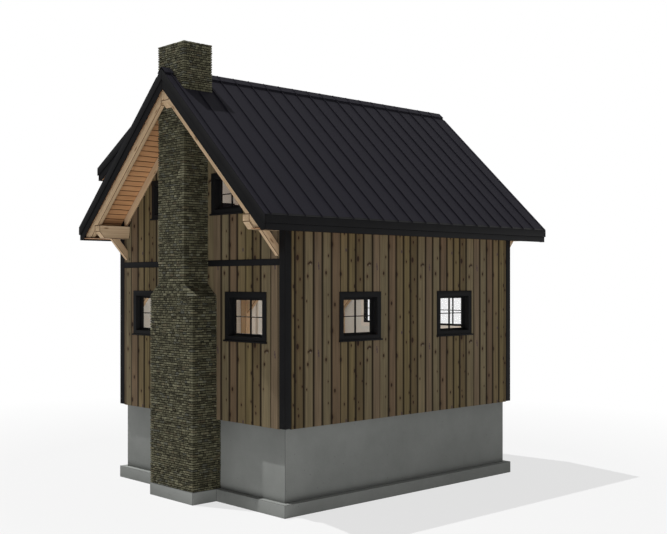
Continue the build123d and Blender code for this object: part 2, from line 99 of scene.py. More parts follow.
class Finish:
    def __init__(self, owner, rough=0.5, gloss=0.5):
        # the owner is the name of a new material, or the world
        self.owner = bpy.data.materials.new(owner) if isinstance(owner, str) else owner
        self.owner.use_nodes = True
        self.tree = self.owner.node_tree
        self.shader = self.tree.nodes.get("Principled BSDF")
        if self.shader:
            self.paint(Roughness=rough, Specular_IOR_Level=gloss)

    def add(self, kind, settings=None, inputs=None, output=0):
        # one node: its type, its settings, then a value or a wire for each socket
        node = self.tree.nodes.new("ShaderNode" + kind)
        for key, value in (settings or {}).items():
            if key == "stops":
                ramp = node.color_ramp.elements
                while len(ramp) < len(value):
                    ramp.new(0.5)
                for element, (place, colour) in zip(ramp, value):
                    element.position, element.color = place, colour
            else:
                setattr(node, key, value)
        for key, value in (inputs or {}).items():
            self.feed(node.inputs[key], value)
        return Wire(self, node.outputs[output])

    def feed(self, socket, value):
        if isinstance(value, Wire):
            self.tree.links.new(value.socket, socket)
        else:
            socket.default_value = value

    def place(self):
        # the point, and its x, y and z in metres
        where = self.add("TexCoord", output="Object")
        return where, *self.split(where)

    def note(self, name):
        # the three numbers that a pile wrote on its points under this name
        return self.split(self.add("Attribute", {"attribute_name": name}, output="Vector"))

    def split(self, vector):
        whole = self.tree.nodes.new("ShaderNodeSeparateXYZ")
        self.feed(whole.inputs[0], vector)
        return tuple(Wire(self, socket) for socket in whole.outputs)

    def join(self, x, y, z):
        return self.add("CombineXYZ", None, {0: x, 1: y, 2: z})

    def noise(self, vector, scale, detail=3.0, rough=0.55):
        inputs = {"Vector": vector, "Scale": scale, "Detail": detail, "Roughness": rough}
        return self.add("TexNoise", {"noise_dimensions": "3D"}, inputs)

    def mix(self, factor, first, second, kind="MIX"):
        settings = {"data_type": "RGBA", "blend_type": kind}
        return self.add("Mix", settings, {0: factor, 6: first, 7: second}, output=2)

    def bump(self, height, distance, strength=1.0):
        return self.add("Bump", None, {"Height": height, "Distance": distance, "Strength": strength})

    def paint(self, **values):
        # a value or a wire for each socket of the shader
        for socket, value in values.items():
            self.feed(self.shader.inputs[socket.replace("_", " ")], value)
        return self.owner


def shade(red, green, blue):
    # a colour as seen on a screen, 0 to 255, as the share of light that it gives back
    steps = np.array([red, green, blue]) / 255
    light = np.where(steps <= 0.04045, steps / 12.92, ((steps + 0.055) / 1.055) ** 2.4)
    return (*light.tolist(), 1.0)


# Meshes: a pile gathers closed shells and makes one piece of them
def show(name, mesh, slot, node=None):
    # a visible piece that rides on the cabin, in a node's place where one is named
    piece = bpy.data.objects.new(name, mesh)
    scene.collection.objects.link(piece)
    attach(piece, "root")
    if node:
        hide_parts(node)
    return piece


class Pile:
    def __init__(self):
        self.points, self.faces, self.notes, self.count = [], [], {}, 0

    def add(self, points, faces, **notes):
        # points are shells x corners x 3, faces are the corner numbers of one shell's faces
        points = np.asarray(points, float)
        if points.ndim == 2:
            points = points[None]
        shells, corners, _ = points.shape
        first = self.count + corners * np.arange(shells)
        for face in faces:
            self.faces += (first[:, None] + np.array(face)[None]).tolist()
        for key, value in notes.items():
            value = np.broadcast_to(value, (shells, corners, 3))
            self.notes.setdefault(key, []).append(value.reshape(shells * corners, 3))
        self.points.append(points.reshape(-1, 3))
        self.count += shells * corners

    def make(self, name, look, slot=None, node=None):
        # the slot argument is passed on to show, which does not use it
        mesh = bpy.data.meshes.new(name)
        mesh.from_pydata(np.concatenate(self.points).tolist(), [], self.faces)
        for key, values in self.notes.items():
            note = mesh.attributes.new(key, "FLOAT_VECTOR", "POINT")
            note.data.foreach_set("vector", np.concatenate(values).astype(np.float32).ravel())
        whole = bmesh.new()
        whole.from_mesh(mesh)
        bmesh.ops.recalc_face_normals(whole, faces=whole.faces)
        whole.to_mesh(mesh)
        whole.free()
        mesh.materials.append(finishes[look])
        show(name, mesh, slot or look, node)


def prismFaces(corners):
    # the faces of an outline with that many corners, carried along a straight path
    around = [[i, (i + 1) % corners, corners + (i + 1) % corners, corners + i] for i in range(corners)]
    return around + [list(range(corners))[::-1], list(range(corners, 2 * corners))]


def boxPoints(low, high):
    # the eight corners of a box, its four at the low z first
    x0, y0, z0 = low
    x1, y1, z1 = high
    ring = [(x0, y0), (x1, y0), (x1, y1), (x0, y1)]
    return [(x, y, z0) for x, y in ring] + [(x, y, z1) for x, y in ring]


def pairs(edges):
    return list(zip(edges[:-1], edges[1:]))


def merged(name):
    # a node's mesh as one skin, with its doubled points joined
    whole = bmesh.new()
    whole.from_mesh(nodes[name].data)
    bmesh.ops.remove_doubles(whole, verts=whole.verts, dist=1e-5)
    return whole


def islands(name):
    # the low and high corners of each separate solid in a node
    whole = merged(name)
    whole.verts.ensure_lookup_table()
    left, found = set(whole.verts), []
    while left:
        group, edge = set(), [left.pop()]
        while edge:
            vert = edge.pop()
            group.add(vert)
            near = [e.other_vert(vert) for e in vert.link_edges]
            edge += [v for v in near if v in left]
            left.difference_update(near)
        points = np.array([v.co for v in group])
        found.append((points.min(0), points.max(0)))
    whole.free()
    return sorted(found, key=lambda box: tuple(box[0].round(3)))


# Places read from the frame, and sizes that its boxes don't show, in metres
def reach(name, axis):
    # how far a node stands from the middle along an axis
    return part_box(name)[1][axis]


cabin = {
    "panel": 0.202,
    "decking": 0.019,
    "rafter": 0.171,
    "dormerPitch": 31.05,
    "plateWidth": 0.175,
    "cornerBoard": 0.15,
    "shaftHalf": 0.412,
    "shoulderFoot": 3.893,
    "shoulderTop": 4.123,
}
frameSide, frameEnd = reach("posts", 0), reach("posts", 1)
wallSide, wallEnd = reach("right_wall", 0), reach("back_wall", 1)
trimSide, trimEnd = reach("corner_boards", 0), reach("corner_boards", 1)
eaveSide, roofEnd = reach("eave_fascias", 0), reach("rake_fascias", 1)
ridgeTop, panelEnd = reach("right_roof_panel", 2), reach("right_roof_panel", 1)
wallFoot = reach("foundation_walls", 2)
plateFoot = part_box("wall_plates")[0].z
plateInside = frameSide - cabin["plateWidth"]
eaveLow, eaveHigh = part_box("eave_soffits")
chimneyLow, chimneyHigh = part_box("chimney")
dormerOut, dormerEnd = -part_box("dormer_front_wall")[0].x, reach("dormer_cheeks", 1)
dormerEave, dormerRoofEnd = -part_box("dormer_fascia")[0].x, reach("dormer_fascia", 1)
shaftHalf, baseHalf = cabin["shaftHalf"], reach("chimney", 0)
shoulderFoot, shoulderTop = cabin["shoulderFoot"], cabin["shoulderTop"]
plumb = math.sqrt(2)
soffitDrop = (cabin["panel"] + cabin["decking"]) * plumb
rafterDrop = soffitDrop + cabin["rafter"] * plumb
dormerTilt = math.radians(cabin["dormerPitch"])
dormerSlope = math.tan(dormerTilt)
dormerDrop = (cabin["panel"] + cabin["decking"]) / math.cos(dormerTilt)
endless = 99.0


def roofZ(x, drop=0.0):
    # the main roof falls a metre for each metre from the ridge
    return ridgeTop - np.abs(x) - drop


def dormerZ(x, drop=0.0):
    return ridgeTop - np.abs(x) * dormerSlope - drop


# Studio: white behind, a soft even sky, a high sun from the front left, a broad weak lamp from the front
# right and below, and soft lamps inside that stand for the daylight of the other windows
studio = {
    "sky": 0.30,
    "sun": 4.7,
    "sunAngle": 0.5,
    "sunTravel": (2.09, 1.0, -6.37),
    "fill": 1.33,
    "fillAngle": 35.0,
    "fillTravel": (-0.64, 0.74, 0.42),
    "floorShade": 0.42,
    "floorRadius": 60.0,
    "floorSides": 96,
    "fade": (7.0, 16.0),
    "shadow": 0.72,
    "lamps": {"mainRoom": (70.0, 3.6), "loft": (50.0, 6.0)},
    "lampPlaces": (-1.7, 1.7),
    "lampRadius": 0.5,
}


def seen(finish):
    # 1 for what the camera sees straight, in a reflection or through glass
    rays = [finish.add("LightPath", output=f"Is {kind} Ray") for kind in ("Camera", "Glossy", "Transmission")]
    return rays[0].most(rays[1]).most(rays[2])


def putLight(name, kind, energy):
    light = bpy.data.objects.new(name, bpy.data.lights.new(name, kind))
    light.data.energy = energy
    scene.collection.objects.link(light)
    return light


plainWhite = (1, 1, 1, 1)
scene.world = bpy.data.worlds.new("studio")
sky = Finish(scene.world)
skyLight = sky.add("Background", None, {"Color": plainWhite, "Strength": studio["sky"]})
skyWhite = sky.add("Background", None, {"Color": plainWhite, "Strength": 1.0})
skyMix = sky.add("MixShader", None, {0: seen(sky), 1: skyLight, 2: skyWhite})
sky.feed(sky.tree.nodes["World Output"].inputs["Surface"], skyMix)

for name in ("sun", "fill"):
    sun = putLight(name, "SUN", studio[name])
    sun.data.angle = math.radians(studio[name + "Angle"])
    sun.rotation_euler = Vector(studio[name + "Travel"]).to_track_quat("-Z", "Y").to_euler()
for name, (energy, height) in studio["lamps"].items():
    for y in studio["lampPlaces"]:
        lamp = putLight(name + "Lamp", "POINT", energy)
        lamp.data.shadow_soft_size = studio["lampRadius"]
        lamp.location = (0, y, height)
        lamp.visible_camera = False

floorFinish = Finish("floor", 0.9, 0.0)
floorFinish.paint(Base_Color=(studio["floorShade"],) * 3 + (1,))
_, floorX, floorY, _ = floorFinish.place()
fromMiddle = (floorX * floorX + floorY * floorY) ** 0.5
fadeFrom, fadeTo = studio["fade"]
fade = floorFinish.add("MapRange", None, {"Value": fromMiddle, "From Min": fadeFrom, "From Max": fadeTo})
white = floorFinish.add("Emission", None, {"Color": plainWhite, "Strength": 1.0})
share = seen(floorFinish) * (studio["shadow"] + (1 - studio["shadow"]) * fade)
matt = Wire(floorFinish, floorFinish.shader.outputs[0])
floorMix = floorFinish.add("MixShader", None, {0: share, 1: matt, 2: white})
floorFinish.feed(floorFinish.tree.nodes["Material Output"].inputs["Surface"], floorMix)
angles = np.linspace(0, 2 * math.pi, studio["floorSides"] + 1)[:-1]
rim = np.stack([np.cos(angles), np.sin(angles), 0 * angles], 1) * studio["floorRadius"]
floorMesh = bpy.data.meshes.new("floor")
floorMesh.from_pydata(rim.tolist(), [], [list(range(len(rim)))])
floorMesh.materials.append(floorFinish.owner)
floor = bpy.data.objects.new("floor", floorMesh)
floor.visible_shadow = False
scene.collection.objects.link(floor)
print("studio ready")


# Finishes
def woodPlaces(finish, kind):
    # along the grain and twice across it, for a timber that runs one of these ways
    _, x, y, z = finish.place()
    half = math.sqrt(0.5)
    if kind == "upright":
        return z, x, y
    if kind == "acrossCabin":
        return x, y, z
    if kind == "alongCabin":
        return y, x, z
    if kind == "rafter":
        return (x.size() - z) * half, (x.size() + z) * half, y
    if kind == "outerBrace":
        return (y.size() + z) * half, (y.size() - z) * half, x
    return (z - x.size()) * half, (z + x.size()) * half, y


timberLook = {
    "light": shade(194, 170, 140),
    "dark": shade(163, 136, 104),
    "knot": shade(104, 74, 46),
}


def timber(kind):
    # planed softwood: streaks along the grain, a slow drift of tone and a few small knots
    wood = Finish("timber" + kind[0].upper() + kind[1:], 0.62, 0.25)
    along, first, second = woodPlaces(wood, kind)
    streak = wood.noise(wood.join(along * 0.9, first * 42, second * 42), 1.0, 4)
    drift = wood.noise(wood.join(along * 0.5, first * 3, second * 3), 1.0, 2)
    cells = {"Vector": wood.join(along * 1.6, first * 6, second * 6), "Scale": 1.0, "Randomness": 0.9}
    spot = wood.add("TexVoronoi", {"feature": "F1"}, cells)
    knot = 1 - spot.above(0.11, 0.04)
    tone = (streak * 0.75 + drift * 0.45 - 0.1).above(0.5, 0.32)
    colour = wood.mix(tone, timberLook["light"], timberLook["dark"])
    colour = wood.mix(knot * 0.8, colour, timberLook["knot"])
    relief = wood.bump(streak * 0.5 + knot * 0.4, 0.0012, 0.5)
    return wood.paint(Base_Color=colour, Normal=relief, Roughness=0.52 + streak * 0.2)


concreteLook = {"light": shade(128, 130, 127), "dark": shade(111, 113, 110), "pit": shade(86, 88, 85)}


def concrete():
    # smooth cast faces: cloudy tone, fine sand speckle and a few small air holes, painted darker as shade
    # inside them
    stone = Finish("concrete", 0.85, 0.2)
    where = stone.place()[0]
    cloud = stone.noise(where, 1.1, 5, 0.6)
    sand = stone.noise(where, 95.0, 3)
    hole = stone.add("TexVoronoi", {"feature": "F1"}, {"Vector": where, "Scale": 5.5, "Randomness": 1.0})
    pit = 1 - hole.above(0.055, 0.02)
    tone = (cloud * 0.8 + sand * 0.5 - 0.15).above(0.5, 0.3)
    colour = stone.mix(tone, concreteLook["dark"], concreteLook["light"])
    # the air holes are painted darker: painted shade in them
    colour = stone.mix(pit * 0.7, colour, concreteLook["pit"])
    relief = stone.bump(sand * 0.3 - pit, 0.002, 0.4)
    return stone.paint(Base_Color=colour, Normal=relief, Roughness=0.78 + cloud * 0.14)


def roofMetal():
    # satin coated sheet: a faint mottle in tone and gloss, with the slightest dents
    metal = Finish("roofMetal", gloss=0.04)
    where = metal.place()[0]
    mottle = metal.noise(where, 2.3, 4)
    fine = metal.noise(where, 240.0, 2)
    colour = metal.mix((mottle * 0.7 + fine * 0.3).above(0.5, 0.25), shade(25, 24, 30), shade(29, 28, 34))
    relief = metal.bump(mottle, 0.004, 0.25)
    return metal.paint(Base_Color=colour, Roughness=0.6 + mottle * 0.16, Normal=relief)


blackLook = (shade(15, 15, 16), shade(22, 22, 23))


def blackTrim():
    # black stained boards: fine brushed streaks that show only in the gloss
    trim = Finish("blackTrim", gloss=0.06)
    where, x, y, z = trim.place()
    streak = trim.noise(trim.join(x * 9, y * 9, z * 9), 6.0, 4)
    mottle = trim.noise(where, 1.7, 3)
    colour = trim.mix((streak * 0.6 + mottle * 0.4).above(0.5, 0.2), *blackLook)
    return trim.paint(Base_Color=colour, Roughness=0.5 + streak * 0.2, Normal=trim.bump(streak, 0.0008, 0.4))


def whitePaint():
    paint = Finish("whitePaint", 0.7, 0.3)
    where = paint.place()[0]
    colour = paint.mix(paint.noise(where, 0.8, 2), shade(214, 211, 203), shade(224, 221, 214))
    return paint.paint(Base_Color=colour, Normal=paint.bump(paint.noise(where, 180.0, 3), 0.0006, 0.3))


def doorPaint():
    # black outside, and white like the walls inside
    paint = Finish("doorPaint", 0.6, 0.1)
    where, x, _, _ = paint.place()
    inside = (x + wallSide - 0.004).above(0.0, 0.001)
    cloud = paint.noise(where, 3.0, 3)
    white = paint.mix(cloud, shade(206, 203, 195), shade(216, 213, 206))
    colour = paint.mix(inside, paint.mix(cloud, *blackLook), white)
    return paint.paint(Base_Color=colour, Normal=paint.bump(cloud, 0.001, 0.2))


def wallSlab():
    # white plaster inside, dark building paper behind the boards outside
    slab = Finish("wallSlab", 0.8, 0.2)
    where, x, y, _ = slab.place()
    outside = (x.size() - (frameSide + 0.05)).most(y.size() - (frameEnd + 0.05)).above(0.0, 0.001)
    cloud = slab.noise(where, 0.8, 2)
    inner = slab.mix(cloud, shade(203, 206, 203), shade(214, 217, 215))
    outer = slab.mix(cloud, shade(24, 17, 9), shade(34, 24, 14))
    relief = slab.bump(slab.noise(where, 160.0, 3), 0.0006, 0.3)
    return slab.paint(Base_Color=slab.mix(outside, inner, outer), Normal=relief)


def clearGlass():
    # clear panes: the gloss grows as the sight line comes flat to the pane
    pane = Finish("clearGlass", 0.03, 0.5)
    edge = pane.add("LayerWeight", None, {"Blend": 0.5}, output="Facing")
    wave = pane.noise(pane.place()[0], 1.5, 2)
    relief = pane.bump(wave, 0.001, 0.2)
    return pane.paint(Base_Color=(0.03, 0.035, 0.035, 1), Alpha=0.04 + edge**5 * 0.9, Normal=relief)


def plankFloor():
    # planed floor boards laid along the cabin
    plank = Finish("plankFloor", 0.5)
    _, x, y, _ = plank.place()
    width = 0.14
    lane = (x / width).whole()
    within = (x / width).part()
    seam = (within - 0.5).size().above(0.48, 0.01)
    streak = plank.noise(plank.join(x * 40, y * 1.4 + lane * 7.3, lane * 3.1), 1.0, 4)
    colour = plank.mix(streak.above(0.5, 0.3), shade(150, 118, 80), shade(186, 152, 108))
    colour = plank.mix(seam, colour, shade(52, 36, 22))
    return plank.paint(Base_Color=colour, Normal=plank.bump(streak * 0.3 - seam, 0.001, 0.5))


def clay():
    pot = Finish("clay", 0.85)
    cloud = pot.noise(pot.place()[0], 9.0, 4)
    colour = pot.mix(cloud, shade(120, 66, 42), shade(156, 92, 62))
    return pot.paint(Base_Color=colour, Normal=pot.bump(cloud, 0.002, 0.4))


sidingLook = {
    "widths": (0.2206, 0.2492, 0.2240, 0.2392, 0.2234, 0.2192, 0.2083),
    "shades": (
        (84, 72, 50), (102, 91, 69), (100, 86, 68), (99, 89, 68), (94, 78, 60), (100, 87, 62), (96, 84, 57),
    ),
    # seam: the colour of each board's grooves and edges, partly a dark stain and partly painted shade of the
    # grooves and rounded board edges
    "seam": shade(22, 13, 4),
    "knot": shade(30, 17, 9),
    "ring": shade(74, 55, 36),
    "purple": shade(56, 42, 56),
    "paleHighlight": shade(122, 117, 116),
    "foot": 0.49,
    "squash": 0.62,
    "bend": 0.012,
}
patternWidth = sum(sidingLook["widths"])
# knots: the pattern's board, the place across it from its left edge as a share, height and size in metres
knots = [
    (0, 0.42, 0.195, 0.018), (0, 0.36, 0.318, 0.012), (0, 0.30, 1.428, 0.032), (0, 0.58, 1.043, 0.018),
    (0, 0.09, 0.813, 0.018), (0, 0.82, 0.710, 0.014), (1, 0.41, 1.098, 0.020), (1, 0.30, 0.650, 0.012),
    (3, 0.66, 1.473, 0.015), (3, 0.41, 1.161, 0.021), (3, 0.63, 0.760, 0.011), (3, 0.65, 0.364, 0.011),
    (4, 0.07, 0.100, 0.030), (4, 0.40, 0.580, 0.023), (5, 0.55, 0.310, 0.016), (5, 0.10, 1.141, 0.026),
    (6, 0.90, 0.012, 0.014), (6, 0.42, 1.393, 0.015), (6, 0.87, 0.915, 0.022), (6, 0.82, 0.395, 0.015),
    (1, 0.45, 1.320, 0.013), (1, 0.56, 1.339, 0.014), (1, 0.68, 1.349, 0.014), (1, 0.80, 1.340, 0.013),
]
purpleKnots = [
    (5, 0.76, 0.002, 0.022), (2, 0.57, 1.288, 0.020), (2, 0.60, 1.240, 0.016), (2, 0.55, 1.335, 0.012),
]
# a painted highlight: the pale eye of one knot
highlightEyes = [(1, 0.69, 1.308, 0.010)]


def sidingWood():
    # stained boards in a run of seven: the note holds place across the run, height, and the board's number
    wood = Finish("sidingWood", 0.78, 0.15)
    across, height, board = wood.note("grain")
    rim = wood.note("rim")[0]
    foot, squash = sidingLook["foot"], sidingLook["squash"]
    climb = wood.add("Math", {"operation": "WRAP"}, {0: height, 1: foot + patternWidth, 2: foot})
    spot = wood.join(across, climb * squash, 0.0)
    starts = np.concatenate([[0], np.cumsum(sidingLook["widths"])])

    def closest(marks):
        # the least distance to any of the marks, in sizes of that mark
        nearest = None
        for lane, share, level, size in marks:
            rise = level + patternWidth if level < foot else level
            middle = (starts[lane] + share * sidingLook["widths"][lane], rise * squash, 0.0)
            away = wood.add("VectorMath", {"operation": "DISTANCE"}, {0: spot, 1: middle}, output="Value")
            nearest = away / size if nearest is None else nearest.least(away / size)
        return nearest

    nearest, purple, paleHighlight = closest(knots), closest(purpleKnots), closest(highlightEyes)
    swirl = (nearest * nearest * -0.35).exponent()
    bent = across + swirl * sidingLook["bend"]
    streak = wood.noise(wood.join(bent * 95, height * 1.5, board * 5.7), 1.0, 4, 0.6)
    fine = wood.noise(wood.join(bent * 330, height * 6.0, board * 3.1), 1.0, 2)
    band = wood.noise(wood.join(bent * 22, height * 0.55, board * 9.3), 1.0, 2)
    drift = wood.noise(wood.join(board * 2.7, height * 0.7, 0.0), 1.0, 2)
    stops = [(float(start / patternWidth), shade(*tone)) for start, tone in zip(starts, sidingLook["shades"])]
    base = wood.add("ValToRGB", {"stops": stops}, {0: across / patternWidth})
    base.socket.node.color_ramp.interpolation = "CONSTANT"
    tone = (streak - 0.5) + (band - 0.5) * 1.1 + (drift - 0.5) * 0.4 + 1.0
    colour = wood.mix(1.0, base, wood.join(tone, tone, tone), "MULTIPLY")
    colour = wood.mix((1 - nearest.above(1.9, 1.0)) * 0.55, colour, sidingLook["ring"])
    colour = wood.mix(1 - nearest.above(1.0, 0.25), colour, sidingLook["knot"])
    colour = wood.mix((1 - purple.above(0.9, 0.4)) * 0.85, colour, sidingLook["purple"])
    # the pale eye on one knot is a painted highlight
    colour = wood.mix((1 - paleHighlight.above(0.8, 0.3)) * 0.9, colour, sidingLook["paleHighlight"])
    # towards each board's edge the colour goes to the seam colour: dark stain and painted shade
    colour = wood.mix(1 - rim, colour, sidingLook["seam"])
    relief = wood.bump(streak * 0.5 + fine * 0.25 + (1 - nearest.above(0.9, 0.3)) * 0.4, 0.0014, 0.6)
    return wood.paint(Base_Color=colour, Normal=relief, Roughness=0.66 + streak * 0.2)


soffitLook = {"light": shade(197, 151, 109), "dark": shade(164, 119, 80), "seam": shade(58, 34, 18)}


def soffitWood():
    # warm boards along the cabin: the note holds place across, place along and the board's number
    wood = Finish("soffitWood", 0.6, 0.2)
    across, along, board = wood.note("grain")
    rim = wood.note("rim")[0]
    streak = wood.noise(wood.join(across * 75, along * 1.6, board * 5.1), 1.0, 4, 0.6)
    drift = wood.noise(wood.join(board * 3.3, along * 0.5, 0.0), 1.0, 2)
    tone = (streak * 0.6 + drift * 0.5 - 0.05).above(0.5, 0.25)
    colour = wood.mix(tone, soffitLook["light"], soffitLook["dark"])
    colour = wood.mix(1 - rim, colour, soffitLook["seam"])
    return wood.paint(Base_Color=colour, Normal=wood.bump(streak, 0.001, 0.5), Roughness=0.5 + streak * 0.2)


stoneLook = {
    "dark": shade(54, 52, 39),
    "middle": shade(82, 80, 62),
    "light": shade(108, 106, 86),
    "cold": shade(84, 87, 84),
    "rust": shade(92, 80, 62),
}


def ledgeStone():
    # split stone: the note holds each stone's tone, tint and number; layers run level across the split faces
    stone = Finish("ledgeStone", gloss=0.2)
    tone, tint, number = stone.note("tone")
    where, x, y, z = stone.place()
    layer = stone.noise(stone.join(x * 9 + number * 3.1, y * 9, z * 75), 1.0, 4, 0.65)
    grit = stone.noise(where, 130.0, 4, 0.7)
    depth = tone * 0.75 + layer * 0.5 - 0.125
    colour = stone.mix(depth.above(0.36, 0.26), stoneLook["dark"], stoneLook["middle"])
    colour = stone.mix(depth.above(0.78, 0.2), colour, stoneLook["light"])
    colour = stone.mix(tint.above(0.9, 0.02) * 0.35, colour, stoneLook["cold"])
    colour = stone.mix((1 - tint.above(0.08, 0.02)) * 0.3, colour, stoneLook["rust"])
    relief = stone.bump(layer * 0.7 + grit * 0.3, 0.006, 0.8)
    return stone.paint(Base_Color=colour, Normal=relief, Roughness=0.8 + grit * 0.15)


def chimneyCore():
    # the bed behind the stones, near black as painted shade in the joints, and a grey mortar crown on top
    core = Finish("chimneyCore", 0.95, 0.1)
    where, _, _, z = core.place()
    grit = core.noise(where, 60.0, 4)
    top = z.above(chimneyHigh.z - 0.03, 0.002)
    # near black: painted shade in the joints between the stones
    jointShade = core.mix(grit, shade(10, 9, 7), shade(20, 18, 14))
    crown = core.mix(grit, shade(120, 118, 110), shade(144, 141, 131))
    return core.paint(Base_Color=core.mix(top, jointShade, crown), Normal=core.bump(grit, 0.003, 0.5))


def easedEdge(name, rough, gloss, scale, dark, light):
    # rounded edges, a little darker than the faces beside them
    edge = Finish(name, rough, gloss)
    rub = edge.noise(edge.place()[0], scale, 3)
    return edge.paint(Base_Color=edge.mix(rub, shade(*dark), shade(*light)))


finishes = {
    "concrete": concrete(),
    "clay": clay(),
    "floor_boards": plankFloor(),
    "roof_metal": roofMetal(),
    "black_trim": blackTrim(),
    "glass": clearGlass(),
    "wallSlab": wallSlab(),
    "whitePaint": whitePaint(),
    "doorPaint": doorPaint(),
    "siding": sidingWood(),
    "soffit_boards": soffitWood(),
    "ledge_stone": ledgeStone(),
    "chimneyCore": chimneyCore(),
}
for kind in ("upright", "acrossCabin", "alongCabin", "rafter", "outerBrace", "innerBrace"):
    finishes[kind] = timber(kind)
print("finishes ready:", len(finishes))


# Nodes of the frame: look, slot, how far the edges are eased in metres, and the nodes that wear it
sides = ("front", "back", "left", "right", "dormer")
dressed = [
    ("concrete", "concrete", 0.005, ["strip_footing", "foundation_walls"]),
    ("clay", "clay", 0.004, ["chimney_flue"]),
    ("floor_boards", "floor_boards", 0, ["main_floor", "loft_floor"]),
    ("upright", "timber", 0.007, ["posts"]),
    ("acrossCabin", "timber", 0.006, ["tie_beams"]),
    ("rafter", "timber", 0.007, ["frame_rafters"]),
    ("alongCabin", "timber", 0.008, ["wall_plates", "ridge_beam"]),
    ("innerBrace", "timber", 0.007, ["inner_braces"]),
    ("outerBrace", "timber", 0.008, ["outer_braces"]),
    ("rafter", "timber", 0.008, ["fly_rafters"]),
    ("rafter", "timber", 0.004, ["wall_rafters"]),
    ("wallSlab", "siding", 0, [side + "_wall" for side in sides[:4]]),
    ("wallSlab", "siding", 0, ["dormer_cheeks", "dormer_front_wall"]),
    ("black_trim", "black_trim", 0.003, ["corner_boards", "belly_bands", "rake_fascias"]),
    ("black_trim", "black_trim", 0.004, ["eave_fascias"]),
    ("black_trim", "black_trim", 0.0015, ["dormer_fascia"]),
    ("roof_metal", "roof_metal", 0, ["right_roof_panel", "left_roof_panel", "dormer_roof_panel"]),
    ("doorPaint", "black_frame", 0, ["door_frame", "door_leaf"]),
    ("glass", "glass", 0, [side + "_glass" for side in sides]),
    ("black_trim", "black_frame", 0.003, [side + "_window_frames" for side in sides]),
]
blackEdge = ("trimEdge", 0.8, 0.02, 20.0, (5, 5, 6), (11, 11, 12))
edges = {
    "timber": easedEdge("timberEdge", 0.7, 0.15, 14.0, (66, 48, 32), (94, 73, 52)),
    "black_trim": easedEdge(*blackEdge),
    "black_frame": easedEdge(*blackEdge),
    "concrete": easedEdge("concreteEdge", 0.9, 0.1, 9.0, (58, 59, 58), (84, 86, 84)),
}
easing = {"segments": 2, "flat": math.radians(0.5), "sharp": math.radians(25)}


def easeEdges(name, look, slot, width):
    # a merged copy of the node with its sharp edges rounded over
    whole = merged(name)
    bmesh.ops.dissolve_limit(whole, angle_limit=easing["flat"], verts=whole.verts, edges=whole.edges)
    mesh = bpy.data.meshes.new(name + "Eased")
    whole.to_mesh(mesh)
    whole.free()
    mesh.materials.append(finishes[look])
    mesh.materials.append(edges.get(slot, finishes[look]))
    mesh.polygons.foreach_set("use_smooth", np.ones(len(mesh.polygons), bool))
    bevel = show(name + "Eased", mesh, slot, name).modifiers.new("ease", "BEVEL")
    bevel.width, bevel.segments, bevel.limit_method = width, easing["segments"], "ANGLE"
    bevel.angle_limit = easing["sharp"]
    bevel.harden_normals = True
    bevel.material = 1


for look, slot, ease, names in dressed:
    for name in names:
        if ease:
            easeEdges(name, look, slot, ease)
        else:
            for place in nodes[name].material_slots:
                place.material = finishes[look]
print("nodes dressed:", sum(len(names) for *_, names in dressed))


# Board siding. For each wall: the axis that it faces along, which way, and its distance from the middle
walls = {
    "front": (1, -1, wallEnd),
    "back": (1, 1, wallEnd),
    "right": (0, 1, wallSide),
    "left": (0, -1, wallSide),
    "dormer": (0, -1, dormerOut),
    "nearCheek": (1, -1, dormerEnd),
    "farCheek": (1, 1, dormerEnd),
}
boards = {
    "face": 0.022,
    "gap": 0.009,
    "chamfer": (0.011, 0.014),
    "rims": ((0.034, 0.12), (0.020, 0.15)),  # left, then right: width of the darkened rim, and how clear of its stain and painted shade it starts
    "narrow": 0.004,  # no run is narrower
    "short": 0.01,  # or shorter
    "drip": 0.012,
    "sill": 0.025,
    "lap": 0.02,
    "cheekGap": 0.01,
    "sideStart": -3.1445,  # where the pattern of boards starts on a wall
    "gableStart": 0.1002,
}


def onWall(wall):
    # where a wall puts a point: a is to the right as seen from outside, out is away from the wall
    axis, away, plane = walls[wall]
    turn = -away if axis else away

    def put(a, out, z):
        point = [away * (plane + out), away * (plane + out), z]
        point[1 - axis] = turn * a
        return np.stack(point, -1)

    return put, turn


def boardRuns(low, high, foot, top, holes, start, breaks):
    # each board's clear runs between holes: its edges, foot and top limits, which edges are its own,
    # where its pattern starts on the wall, and its number
    widths = sidingLook["widths"]
    turn = math.floor((low - start) / patternWidth)
    left, number = start + turn * patternWidth, 0
    while left < high:
        lane = number % len(widths)
        right = left + widths[lane]
        near, far = max(left, low), min(right, high)
        stops = {near, far} | {edge for hole in holes for edge in hole[:2]} | set(breaks)
        stops = sorted(stop for stop in stops if near <= stop <= far)
        for a0, a1 in pairs(stops) if far - near > boards["narrow"] else []:
            middle = (a0 + a1) / 2
            spans = [(-endless, endless)]
            for h0, h1, z0, z1 in holes:
                if h0 < middle < h1:
                    spans = [(z, min(end, z0)) for z, end in spans] + [(max(z, z1), end) for z, end in spans]
            for z, end in spans:
                if min(end, top(middle)) - max(z, foot(middle)) > boards["short"]:
                    origin = left - sum(widths[:lane])
                    yield a0, a1, z, end, a0 == near, a1 == far, origin, number + turn * len(widths)
        left, number = right, number + 1


def ownEdge(stainAndShadeWidth, clear):
    # in from a board's edge, out from the wall and clear of the darkened rim, which is stain and painted
    # shade: back, chamfer, darkened rim, face
    half, face = boards["gap"] / 2, boards["face"]
    wide, deep = half + boards["chamfer"][0], face - boards["chamfer"][1]
    return [(half, 0, 0), (half, deep, 0), (wide, face, clear), (wide + stainAndShadeWidth, face, 1)]


